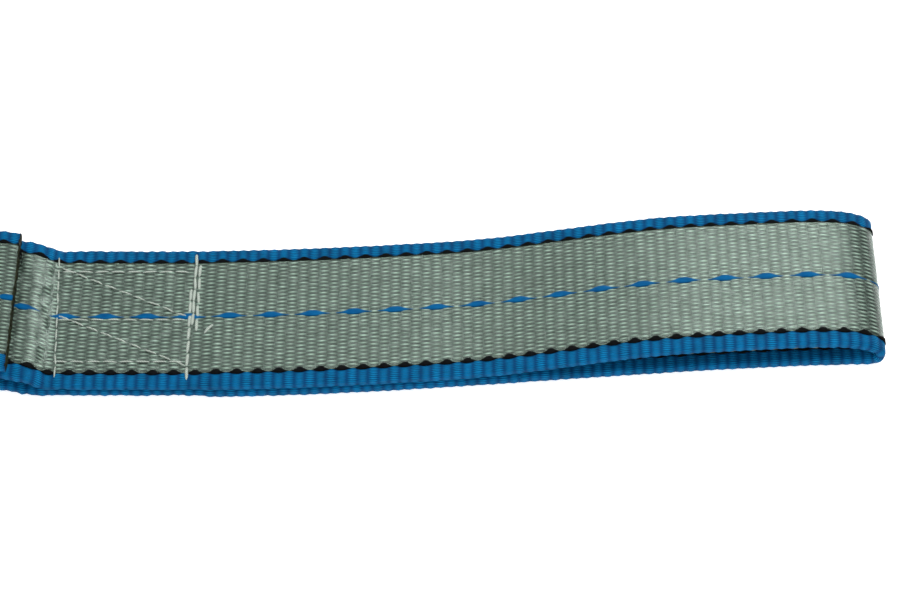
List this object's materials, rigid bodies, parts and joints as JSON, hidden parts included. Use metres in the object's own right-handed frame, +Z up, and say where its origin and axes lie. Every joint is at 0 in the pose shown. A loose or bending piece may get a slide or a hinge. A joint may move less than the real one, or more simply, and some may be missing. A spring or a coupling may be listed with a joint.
{
  "type": "flat web sling",
  "caption": "Two-ply flat web lifting sling with a flat sewn eye at each end, a sewn tail splice and blue selvedges, lying closed.",
  "frame": {"origin": "centre of the bounding box's bottom face, on the floor under the middle of the sling", "axes": "+X along the sling towards the end with the splice, +Y across the web, +Z up out of the floor"},
  "size_m": [1, 0.0698, 0.0121],
  "materials": {
    "ground_web": "grey plain-woven polyester webbing",
    "selvedge_web": "blue woven selvedge of the webbing",
    "tracer_yarn": "blue centre tracer yarn in the webbing",
    "marker_yarn": "black marker yarn in the webbing",
    "sewing_thread": "grey bonded sewing thread",
    "label_cloth": "blue woven polyester label, blank",
    "singed_edge": "heat-sealed dark cut end of the webbing"
  },
  "bodies": {
    "middle": {"body_bottom_ply": "ground_web", "body_top_ply": "ground_web", "label": "label_cloth", "label_thread": "sewing_thread"},
    "right_body": {"right_body_bottom_ply": "ground_web", "splice_under_tail": "ground_web", "splice_over_tail": "ground_web", "splice_needle_thread": "sewing_thread", "splice_bobbin_thread": "sewing_thread"},
    "right_throat": {"right_throat_bottom_ply": "ground_web", "right_throat_top_ply": "ground_web", "right_throat_cross_needle_thread": "sewing_thread", "right_throat_cross_bobbin_thread": "sewing_thread", "right_throat_back_needle_thread": "sewing_thread", "right_throat_back_bobbin_thread": "sewing_thread", "right_throat_w_needle_thread": "sewing_thread", "right_throat_w_bobbin_thread": "sewing_thread"},
    "right_upper_inner": {"right_eye_upper_inner": "ground_web"},
    "right_upper_outer": {"right_eye_upper_outer": "ground_web"},
    "right_lower_outer": {"right_eye_lower_outer": "ground_web"},
    "left_body": {"left_body_bottom_ply": "ground_web", "left_body_top_ply": "ground_web"},
    "left_throat": {"left_throat_bottom_ply": "ground_web", "left_throat_top_ply": "ground_web", "left_throat_cross_needle_thread": "sewing_thread", "left_throat_cross_bobbin_thread": "sewing_thread", "left_throat_back_needle_thread": "sewing_thread", "left_throat_back_bobbin_thread": "sewing_thread", "left_throat_w_needle_thread": "sewing_thread", "left_throat_w_bobbin_thread": "sewing_thread"},
    "left_upper_inner": {"left_eye_upper_inner": "ground_web"},
    "left_upper_outer": {"left_eye_upper_outer": "ground_web"},
    "left_lower_outer": {"left_eye_lower_outer": "ground_web"}
  },
  "joints": [
    {"name": "right_body_bend", "type": "hinge", "parent": "middle", "child": "right_body", "pos_m": [0.11, 0.00057, 0.0066], "axis": [0, -1, 0], "range_deg": [0, 60]},
    {"name": "right_eye_fold", "type": "hinge", "parent": "right_body", "child": "right_throat", "pos_m": [0.258, 0.0011, 0.00758], "axis": [0, -1, 0], "range_deg": [0, 55]},
    {"name": "right_eye_open", "type": "hinge", "parent": "right_throat", "child": "right_upper_inner", "pos_m": [0.309, 0.00194, 0.0048], "axis": [0, -1, 0], "range_deg": [0, 60]},
    {"name": "right_upper_leg_bend", "type": "hinge", "parent": "right_upper_inner", "child": "right_upper_outer", "pos_m": [0.4115, 0.00456, 0.0073], "axis": [0, -1, 0], "range_deg": [-60, 0]},
    {"name": "right_crown_open", "type": "hinge", "parent": "right_upper_outer", "child": "right_lower_outer", "pos_m": [0.4985, 0.0099, 0.004], "axis": [0, -1, 0], "range_deg": [0, 60]},
    {"name": "left_body_bend", "type": "hinge", "parent": "middle", "child": "left_body", "pos_m": [-0.11, -0.00057, 0.0066], "axis": [0, 1, 0], "range_deg": [0, 60]},
    {"name": "left_eye_fold", "type": "hinge", "parent": "left_body", "child": "left_throat", "pos_m": [-0.258, -0.0011, 0.0066], "axis": [0, 1, 0], "range_deg": [0, 55]},
    {"name": "left_eye_open", "type": "hinge", "parent": "left_throat", "child": "left_upper_inner", "pos_m": [-0.309, -0.00194, 0.0048], "axis": [0, 1, 0], "range_deg": [0, 60]},
    {"name": "left_upper_leg_bend", "type": "hinge", "parent": "left_upper_inner", "child": "left_upper_outer", "pos_m": [-0.4115, -0.00456, 0.0073], "axis": [0, 1, 0], "range_deg": [-60, 0]},
    {"name": "left_crown_open", "type": "hinge", "parent": "left_upper_outer", "child": "left_lower_outer", "pos_m": [-0.4985, -0.0099, 0.004], "axis": [0, 1, 0], "range_deg": [0, 60]}
  ],
  "couplings": [
    {"joint": "right_upper_leg_bend", "follows": "right_eye_open", "ratio": -1},
    {"joint": "right_crown_open", "follows": "right_eye_open", "ratio": 1},
    {"joint": "left_upper_leg_bend", "follows": "left_eye_open", "ratio": -1},
    {"joint": "left_crown_open", "follows": "left_eye_open", "ratio": 1}
  ]
}
